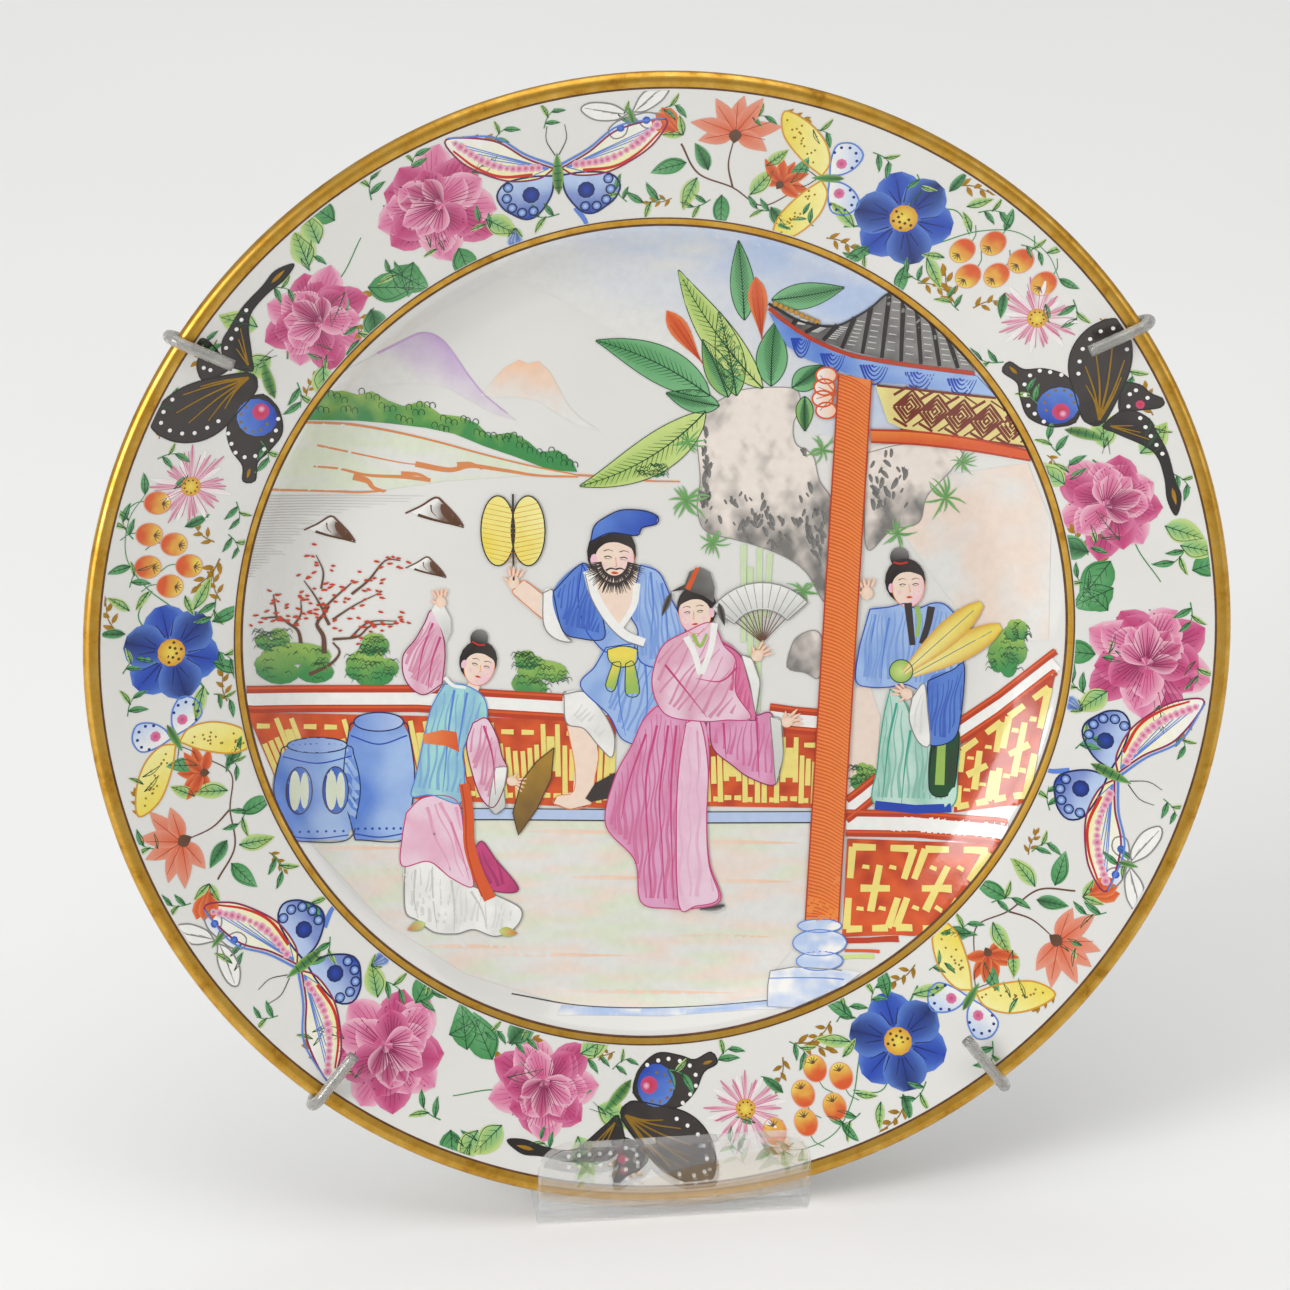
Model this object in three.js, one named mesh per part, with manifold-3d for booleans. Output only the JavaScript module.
// A dinner plate on show: a one-piece bent acrylic easel carries the plate, and a sprung wire
// hanger grips the plate's rim from behind with four sleeved hooks.
// Millimetres, +Z up. The plate faces -Y and leans back towards +Y.
import * as THREE from 'three';
import { mergeVertices } from 'three/addons/utils/BufferGeometryUtils.js';
import Module from 'manifold-3d';

const wasm = await Module();
wasm.setup();

// ---- Driving dimensions ----

// Plate
const PLATE_RADIUS = 125;
const PLATE_LEAN = THREE.MathUtils.degToRad(15);
const RIM_WALL = 3.5;
const RIM_INNER_RADIUS = 91;
const RIM_DROP = 10.4;
const WELL_RADIUS = 74;
const WELL_DROP = 20.5;
const WELL_WALL = 4;
const FOOT_DROP = 29;
const FOOT_INNER_RADIUS = 67.5;
const FOOT_OUTER_RADIUS = 72;
const PLATE_SIDES = 96;

// Easel, one strip of acrylic sheet
const SHEET = 3;
const STRIP_WIDTH = 60;
const LIP_HEIGHT = 22.5;
const LIP_LEAN = THREE.MathUtils.degToRad(6);
const LIP_CORNER = 7.5;
const BEND_INNER_RADIUS = 3;
const REST_LEAN = THREE.MathUtils.degToRad(24.4);
const REST_TOP = 88;
const LEG_LEAN = THREE.MathUtils.degToRad(25);
const LEG_CORNER = 5;
// The plate stands a little right of the easel's middle.
const EASEL_SHIFT = -1.5;

// Hanger
const WIRE_RADIUS = 0.7;
const SLEEVE_INNER_RADIUS = 1.0;
const SLEEVE_OUTER_RADIUS = 1.3;
const HOOK_TIP_REACH = 11.4;
const SLEEVE_BACK_REACH = 9;
const EYE_RADIUS = 2.6;
const EYE_OFFSET = 43;
const FRAME_DEPTH = -31;
const ARM_DEPTH = -32.75;
const KNEE_RADIUS = 77;
const UPPER_HOOK_ANGLE = THREE.MathUtils.degToRad(146.5);
const UPPER_ARM_HEADING = THREE.MathUtils.degToRad(-24);
const LOWER_HOOK_ANGLE = THREE.MathUtils.degToRad(232.9);
const LOWER_ARM_HEADING = THREE.MathUtils.degToRad(52);
// The hanger was put on slightly turned, as seen from the front.
const HANGER_TURN = THREE.MathUtils.degToRad(-1.9);
const NAIL_LOOP_TOP = 82;
const NAIL_LOOP_RADIUS = 6;
const BRIDGE_HEIGHT = -22;
const BRIDGE_LEG_OFFSET = 39;
const SPRING_WIRE_RADIUS = 0.4;
const SPRING_HOOK_CLEARANCE = 0.25;
const SPRING_RADIUS = 2.4;
const SPRING_TURNS = 26;
const SPRING_END = 9;

const GAP = 0.3;

// ---- Where the plate sits ----

const rimRound = RIM_WALL / 2;
const bendOuterRadius = BEND_INNER_RADIUS + SHEET;
const leanSin = Math.sin(PLATE_LEAN);
const leanCos = Math.cos(PLATE_LEAN);

// The rounded edge of the rim stands on the trough floor, just behind the lip's bend.
const edge = { y: bendOuterRadius, z: SHEET + GAP + rimRound };
const edgeUp = -(PLATE_RADIUS - rimRound);
const centre = {
  y: edge.y - edgeUp * leanSin - rimRound * leanCos,
  z: edge.z - edgeUp * leanCos + rimRound * leanSin,
};

// The back rest's face passes just behind the lowest point of the foot ring.
const footMiddle = (FOOT_INNER_RADIUS + FOOT_OUTER_RADIUS) / 2;
const restTouch = {
  y: centre.y - footMiddle * leanSin + FOOT_DROP * leanCos + GAP,
  z: centre.z - footMiddle * leanCos - FOOT_DROP * leanSin,
};

// ---- Materials ----

const material = (color, roughness, metalness, extra = {}) =>
  new THREE.MeshStandardMaterial({ color, roughness, metalness, ...extra });
const acrylic = material(0xe9f0f0, 0.05, 0, { transparent: true, opacity: 0.35 });
const porcelain = material(0xe6e7e4, 0.12, 0);
const steel = material(0xb9bbbd, 0.3, 1);
const vinyl = material(0xe4e2da, 0.25, 0, { transparent: true, opacity: 0.5 });

// ---- Solids ----

function solidFrom(geometry) {
  const bare = geometry.clone();
  bare.deleteAttribute('normal');
  bare.deleteAttribute('uv');
  const merged = mergeVertices(bare, 1e-4);
  return new wasm.Manifold(new wasm.Mesh({
    numProp: 3,
    vertProperties: merged.attributes.position.array,
    triVerts: new Uint32Array(merged.index.array),
  }));
}

function geometryFrom(solid) {
  const { vertProperties, triVerts } = solid.getMesh();
  const geometry = new THREE.BufferGeometry();
  geometry.setAttribute('position', new THREE.BufferAttribute(vertProperties, 3));
  geometry.setIndex(new THREE.BufferAttribute(triVerts, 1));
  geometry.computeVertexNormals();
  return geometry;
}

function namedMesh(name, geometry, surface) {
  const mesh = new THREE.Mesh(geometry, surface);
  mesh.name = name;
  return mesh;
}

// A curve that passes through its own points and is sampled exactly at them.
class Route extends THREE.Curve {
  constructor(points) {
    super();
    this.points = points;
  }
  getPoint(t, target = new THREE.Vector3()) {
    const at = Math.min(Math.max(t, 0), 1) * (this.points.length - 1);
    const i = Math.min(Math.floor(at), this.points.length - 2);
    return target.lerpVectors(this.points[i], this.points[i + 1], at - i);
  }
  getPointAt(u, target) {
    return this.getPoint(u, target);
  }
  getTangentAt(u, target = new THREE.Vector3()) {
    const last = this.points.length - 1;
    const i = Math.round(u * last);
    const before = this.points[Math.max(i - 1, 0)];
    const here = this.points[i];
    const after = this.points[Math.min(i + 1, last)];
    const coming = here.clone().sub(before).normalize();
    const going = after.clone().sub(here).normalize();
    return target.copy(coming).add(going).normalize();
  }
}

function circle(shape, radius, sides) {
  for (let i = 0; i < sides; i++) {
    const angle = (2 * Math.PI * i) / sides;
    const step = i ? 'lineTo' : 'moveTo';
    shape[step](radius * Math.cos(angle), radius * Math.sin(angle));
  }
  return shape;
}

function swept(section, points) {
  return new THREE.ExtrudeGeometry(section, {
    extrudePath: new Route(points),
    steps: points.length - 1,
    bevelEnabled: false,
  });
}

function rod(points, radius, sides) {
  return swept(circle(new THREE.Shape(), radius, sides), points);
}

function tube(points, innerRadius, outerRadius, sides) {
  const section = circle(new THREE.Shape(), outerRadius, sides);
  section.holes.push(circle(new THREE.Path(), innerRadius, sides));
  return swept(section, points);
}

// ---- Easel ----

// Points of a line with its corners rounded to the given radii.
function filleted(corners, segments) {
  const line = [corners[0].at.clone()];
  for (let i = 1; i < corners.length - 1; i++) {
    const { at, radius } = corners[i];
    const back = corners[i - 1].at.clone().sub(at).normalize();
    const on = corners[i + 1].at.clone().sub(at).normalize();
    const half = Math.acos(THREE.MathUtils.clamp(back.dot(on), -1, 1)) / 2;
    const middle = back.clone().add(on).normalize();
    const hub = at.clone().addScaledVector(middle, radius / Math.sin(half));
    const start = at.clone().addScaledVector(back, radius / Math.tan(half)).sub(hub);
    const end = at.clone().addScaledVector(on, radius / Math.tan(half)).sub(hub);
    const from = start.angle();
    let turn = end.angle() - from;
    turn -= 2 * Math.PI * Math.round(turn / (2 * Math.PI));
    for (let k = 0; k <= segments; k++) {
      const angle = from + (turn * k) / segments;
      const spoke = new THREE.Vector2(Math.cos(angle), Math.sin(angle));
      line.push(spoke.multiplyScalar(radius).add(hub));
    }
  }
  line.push(corners.at(-1).at.clone());
  return line;
}

// The two faces of a strip of even thickness about a middle line.
function thickened(line, thickness) {
  const side = (sign) => line.map((point, i) => {
    const before = line[Math.max(i - 1, 0)];
    const after = line[Math.min(i + 1, line.length - 1)];
    const coming = point.clone().sub(before).normalize();
    const going = after.clone().sub(point).normalize();
    const along = coming.add(going).normalize();
    const shown = Math.max(along.dot(i ? point.clone().sub(before).normalize() : going), 0.5);
    return point.clone().addScaledVector(
      new THREE.Vector2(-along.y, along.x), (sign * thickness) / 2 / shown);
  });
  return [...side(1), ...side(-1).reverse()];
}

// A prism through the sheet along Y that takes off one rounded corner.
function cornerCutter(radius, sideX, cornerZ, upwards, fromY, toY) {
  const out = 2;
  const sx = Math.sign(sideX);
  const sz = upwards ? 1 : -1;
  const hub = { x: sideX - sx * radius, z: cornerZ - sz * radius };
  const outline = new THREE.Shape();
  outline.moveTo(sideX + sx * out, hub.z);
  const steps = 8;
  for (let i = 0; i <= steps; i++) {
    const angle = (Math.PI / 2) * (i / steps);
    outline.lineTo(hub.x + sx * radius * Math.cos(angle), hub.z + sz * radius * Math.sin(angle));
  }
  outline.lineTo(hub.x, cornerZ + sz * out);
  outline.lineTo(sideX + sx * out, cornerZ + sz * out);
  const prism = new THREE.ExtrudeGeometry(outline, { depth: toY - fromY, bevelEnabled: false });
  prism.rotateX(Math.PI / 2);
  prism.translate(0, toY, 0);
  return solidFrom(prism);
}

function easelOutline() {
  const half = SHEET / 2;
  const point = (y, z) => new THREE.Vector2(y, z);
  const bend = BEND_INNER_RADIUS + half;
  const lipFoot = point(half, half);
  const lipTop = point(half - (LIP_HEIGHT - half) * Math.tan(LIP_LEAN), LIP_HEIGHT);
  // The middle line of the rest lies half a sheet behind the face that the foot ring meets.
  const restBase = restTouch.y + half / Math.cos(REST_LEAN);
  const restAt = (z) => restBase + (z - restTouch.z) * Math.tan(REST_LEAN);
  const restFoot = point(restAt(half), half);
  const apex = point(restAt(REST_TOP + bend), REST_TOP + bend);
  const legFoot = point(apex.x + apex.y * Math.tan(LEG_LEAN), 0);
  return filleted([
    { at: lipTop },
    { at: lipFoot, radius: bend },
    { at: restFoot, radius: bend },
    { at: apex, radius: bend },
    { at: legFoot },
  ], 9);
}

function easel() {
  const line = easelOutline();
  const outline = new THREE.Shape(thickened(line, SHEET));
  const strip = new THREE.ExtrudeGeometry(outline, { depth: STRIP_WIDTH, bevelEnabled: false });
  // The outline is drawn in Y and Z, and the strip's width runs along X.
  strip.applyMatrix4(new THREE.Matrix4().makeBasis(
    new THREE.Vector3(0, 1, 0), new THREE.Vector3(0, 0, 1), new THREE.Vector3(1, 0, 0)));
  strip.translate(-STRIP_WIDTH / 2, 0, 0);
  const legFoot = line.at(-1);
  const lipTop = line[0];
  let solid = solidFrom(strip);
  for (const side of [-STRIP_WIDTH / 2, STRIP_WIDTH / 2]) {
    const lipCutter = cornerCutter(LIP_CORNER, side, topOf(lipTop), true, lipTop.x - 9, bendOuterRadius);
    const legCutter = cornerCutter(LEG_CORNER, side, 0, false, legFoot.x - 14, legFoot.x + 9);
    solid = solid.subtract(lipCutter).subtract(legCutter);
  }
  // The leg's end is trimmed level with what the easel stands on.
  const below = new THREE.BoxGeometry(STRIP_WIDTH * 2, 60, 20);
  below.translate(0, legFoot.x, -10);
  solid = solid.subtract(solidFrom(below));
  return namedMesh('acrylic_easel', geometryFrom(solid), acrylic);
}

// The lip's upper edge is square to the lip, so its front arris is the highest point.
function topOf(lipTop) {
  return lipTop.y + (SHEET / 2) * Math.sin(LIP_LEAN);
}

// ---- Plate ----

// Depth of the sloping rim's face below the rim plane at a radius.
const rimSlope = Math.atan(RIM_DROP / (PLATE_RADIUS - RIM_INNER_RADIUS));
const rimFace = (radius) => -(PLATE_RADIUS - radius) * Math.tan(rimSlope);

function plate() {
  const profile = [];
  const add = (radius, depth) => profile.push(new THREE.Vector2(radius, depth));
  // Back, from the axis outwards.
  const wellBack = -WELL_DROP - WELL_WALL;
  add(0, wellBack);
  add(FOOT_INNER_RADIUS - 1.5, wellBack);
  add(FOOT_INNER_RADIUS - 0.3, wellBack - 1);
  add(FOOT_INNER_RADIUS + 0.8, -FOOT_DROP + 0.5);
  add(FOOT_INNER_RADIUS + 1.5, -FOOT_DROP);
  add(FOOT_OUTER_RADIUS - 1.5, -FOOT_DROP);
  add(FOOT_OUTER_RADIUS - 0.8, -FOOT_DROP + 0.6);
  add(FOOT_OUTER_RADIUS + 0.4, wellBack + 1.2);
  add(77, -21.8);
  add(84, -17.6);
  add(RIM_INNER_RADIUS + 1.5, -RIM_DROP - 3.6);
  add(108, rimFace(108) - 3.7);
  // Rounded edge.
  const hub = { radius: PLATE_RADIUS - rimRound, depth: -rimRound };
  const turns = 8;
  for (let i = 0; i <= turns; i++) {
    const angle = -Math.PI / 2 + rimSlope + (Math.PI * i) / turns;
    add(hub.radius + rimRound * Math.cos(angle), hub.depth + rimRound * Math.sin(angle));
  }
  // Face, back to the axis.
  add(108, rimFace(108) - 0.1);
  add(RIM_INNER_RADIUS + 1, -RIM_DROP + 0.1);
  add(RIM_INNER_RADIUS - 2, -RIM_DROP - 1.3);
  add(86, -14.4);
  add(81, -17.9);
  add(WELL_RADIUS + 2.5, -WELL_DROP + 0.7);
  add(WELL_RADIUS - 3, -WELL_DROP);
  add(0, -WELL_DROP + 0.4);
  const lathe = new THREE.LatheGeometry(profile, PLATE_SIDES);
  // The lathe turns about Y; the plate's axis is Z here, with its face towards +Z.
  lathe.rotateX(Math.PI / 2);
  return namedMesh('display_plate', lathe, porcelain);
}

// ---- Hanger ----
// All of it is drawn in the plate's own frame: X right, Y up the plate, Z out of its face.

const v3 = (x, y, z) => new THREE.Vector3(x, y, z);
const mirrored = (points) => points.map((p) => v3(-p.x, p.y, p.z)).reverse();
const heading = (angle) => new THREE.Vector2(Math.cos(angle), Math.sin(angle));

// Left-hand hook and arm: over the rim's face, round its edge, and in behind the plate to the knee.
function hookAndArm(rimAngle, armHeading) {
  const inwards = heading(armHeading);
  const turnRadius = rimRound + GAP + SLEEVE_OUTER_RADIUS;
  const hub = heading(rimAngle).multiplyScalar(PLATE_RADIUS - rimRound);
  const at = (out, depth) => v3(hub.x - inwards.x * out, hub.y - inwards.y * out, depth);
  const knee = { out: -(PLATE_RADIUS - rimRound - KNEE_RADIUS), depth: ARM_DEPTH };
  const armSlope = Math.atan2(-rimRound - turnRadius - knee.depth, -knee.out);
  const points = [];
  // The leg in front of the rim is level with the plate, so that it slides off the edge freely.
  const faceSteps = 3;
  for (let i = 0; i < faceSteps; i++) {
    points.push(at(-HOOK_TIP_REACH * (1 - i / faceSteps), turnRadius - rimRound));
  }
  const bendSteps = 7;
  const from = Math.PI / 2;
  const to = -Math.PI / 2 + armSlope;
  for (let i = 0; i <= bendSteps; i++) {
    const angle = from + ((to - from) * i) / bendSteps;
    points.push(at(turnRadius * Math.cos(angle), -rimRound + turnRadius * Math.sin(angle)));
  }
  const sleeveShare = SLEEVE_BACK_REACH / -knee.out;
  points.push(points.at(-1).clone().lerp(at(knee.out, knee.depth), sleeveShare));
  const covered = points.length;
  points.push(at(knee.out + 1.5, knee.depth + 0.9));
  points.push(at(knee.out - 1.5, knee.depth));
  return { points, covered, inwards, knee: at(knee.out, knee.depth) };
}

// One turn of the wire about an eye's centre, moving from the arm's depth to the frame's depth.
function eyeTurn(eye, startAngle, turn) {
  const steps = Math.round(Math.abs(turn) / (Math.PI / 5));
  const points = [];
  for (let i = 0; i <= steps; i++) {
    const angle = startAngle + (turn * i) / steps;
    const depth = ARM_DEPTH + ((FRAME_DEPTH - ARM_DEPTH) * i) / steps;
    const spoke = heading(angle).multiplyScalar(EYE_RADIUS).add(eye);
    points.push(v3(spoke.x, spoke.y, depth));
  }
  return points;
}

// The centre of the eye that an arm runs into, on the given side of the arm.
function eyeCentre(arm, side) {
  const normal = new THREE.Vector2(-arm.inwards.y, arm.inwards.x).multiplyScalar(side * EYE_RADIUS);
  const run = (-EYE_OFFSET - arm.knee.x - normal.x) / arm.inwards.x;
  return new THREE.Vector2(-EYE_OFFSET, arm.knee.y + run * arm.inwards.y + normal.y);
}

const upperArm = hookAndArm(UPPER_HOOK_ANGLE, UPPER_ARM_HEADING);
const upperEye = eyeCentre(upperArm, -1);
const lowerArm = hookAndArm(LOWER_HOOK_ANGLE, LOWER_ARM_HEADING);
const lowerEye = eyeCentre(lowerArm, 1);

// Points of a rounded corner between two straight runs in the frame's plane.
function bentRun(corners, segments) {
  const bends = corners.map(([x, y, radius]) => ({ at: new THREE.Vector2(x, y), radius }));
  return filleted(bends, segments).slice(1).map((p) => v3(p.x, p.y, FRAME_DEPTH));
}

function upperWirePoints() {
  const exitHeading = THREE.MathUtils.degToRad(15);
  const turn = exitHeading - UPPER_ARM_HEADING - 2 * Math.PI;
  const loop = eyeTurn(upperEye, UPPER_ARM_HEADING + Math.PI / 2, turn);
  const last = loop.at(-1);
  const run = bentRun([
    [last.x, last.y, 0],
    [-NAIL_LOOP_RADIUS - 4, last.y + (-NAIL_LOOP_RADIUS - 4 - last.x) * Math.tan(exitHeading), 5],
    [-NAIL_LOOP_RADIUS + 1, NAIL_LOOP_TOP, NAIL_LOOP_RADIUS - 1.4],
    [0, NAIL_LOOP_TOP + 0.6, 0],
  ], 4);
  const half = [...upperArm.points, ...loop, ...run.slice(0, -1)];
  return [...half, v3(0, NAIL_LOOP_TOP + 0.3, FRAME_DEPTH), ...mirrored(half)];
}

function lowerWirePoints() {
  const turn = Math.PI / 2 - LOWER_ARM_HEADING + 2 * Math.PI;
  const loop = eyeTurn(lowerEye, LOWER_ARM_HEADING - Math.PI / 2, turn);
  const last = loop.at(-1);
  const run = bentRun([
    [last.x, last.y, 0],
    [last.x, last.y + 3.5, 3],
    [-BRIDGE_LEG_OFFSET, last.y + 9, 3],
    [-BRIDGE_LEG_OFFSET, BRIDGE_HEIGHT, 5],
    [0, BRIDGE_HEIGHT, 0],
  ], 4);
  const half = [...lowerArm.points, ...loop, ...run.slice(0, -1)];
  return [...half, v3(0, BRIDGE_HEIGHT, FRAME_DEPTH), ...mirrored(half)];
}

// Half-loop hook at one end of a spring, through the eye. up is +1 at the lower eye, -1 at the upper.
function springEnd(eye, up, axisDepth) {
  const points = [];
  const steps = 7;
  const bearing = SPRING_RADIUS - SPRING_WIRE_RADIUS - WIRE_RADIUS - SPRING_HOOK_CLEARANCE;
  const hubY = eye.y + up * (EYE_RADIUS + bearing);
  const sweep = THREE.MathUtils.degToRad(235);
  for (let i = steps; i >= 0; i--) {
    const angle = (sweep * i) / steps;
    const spoke = heading(angle).multiplyScalar(SPRING_RADIUS);
    points.push(v3(eye.x, hubY - up * spoke.y, axisDepth + spoke.x));
  }
  return points;
}

function spring() {
  const axisDepth = (FRAME_DEPTH + ARM_DEPTH) / 2 - 0.05;
  const from = lowerEye.y + SPRING_END;
  const to = upperEye.y - SPRING_END;
  const perTurn = 7;
  const coils = [];
  for (let i = 0; i <= SPRING_TURNS * perTurn; i++) {
    const share = i / (SPRING_TURNS * perTurn);
    const angle = 2 * Math.PI * SPRING_TURNS * share;
    const spoke = heading(angle).multiplyScalar(SPRING_RADIUS);
    coils.push(v3(lowerEye.x + spoke.y, from + (to - from) * share, axisDepth + spoke.x));
  }
  const lowerEnd = springEnd(lowerEye, 1, axisDepth);
  const upperEnd = springEnd(upperEye, -1, axisDepth).reverse();
  return [...lowerEnd, ...coils, ...upperEnd];
}

function hanger() {
  const group = new THREE.Group();
  const wireSides = 8;
  const upperWire = rod(shortened(upperWirePoints()), WIRE_RADIUS, wireSides);
  const lowerWire = rod(shortened(lowerWirePoints()), WIRE_RADIUS, wireSides);
  group.add(namedMesh('upper_hanger_wire', upperWire, steel));
  group.add(namedMesh('lower_hanger_wire', lowerWire, steel));
  const left = spring();
  group.add(namedMesh('left_spring', rod(left, SPRING_WIRE_RADIUS, 5), steel));
  group.add(namedMesh('right_spring', rod(mirrored(left), SPRING_WIRE_RADIUS, 5), steel));
  const sleeve = (points) => tube(points, SLEEVE_INNER_RADIUS, SLEEVE_OUTER_RADIUS, 10);
  for (const [place, arm] of [['upper', upperArm], ['lower', lowerArm]]) {
    const covered = arm.points.slice(0, arm.covered);
    group.add(namedMesh(`sleeve_${place}_left`, sleeve(covered), vinyl));
    group.add(namedMesh(`sleeve_${place}_right`, sleeve(mirrored(covered)), vinyl));
  }
  return group;
}

// The wire stops a little short of the open end of each sleeve.
function shortened(points) {
  const cut = 0.8;
  const pull = (end, next) => end.lerp(next, cut / end.distanceTo(next));
  const line = points.map((p) => p.clone());
  pull(line[0], line[1]);
  pull(line.at(-1), line.at(-2));
  return line;
}

// ---- Assembly ----

const display = new THREE.Group();
display.position.set(0, centre.y, centre.z);
display.rotation.x = Math.PI / 2 - PLATE_LEAN;
const grip = hanger();
grip.rotation.z = HANGER_TURN;
display.add(plate(), grip);

// The origin is on the supporting surface, midway between the lip's front and the leg's foot.
const stand = easel();
stand.geometry.translate(EASEL_SHIFT, 0, 0);
stand.geometry.computeBoundingBox();
const { min, max } = stand.geometry.boundingBox;
const group = new THREE.Group();
group.add(stand, display);
group.position.y = -(min.y + max.y) / 2;

export default group;
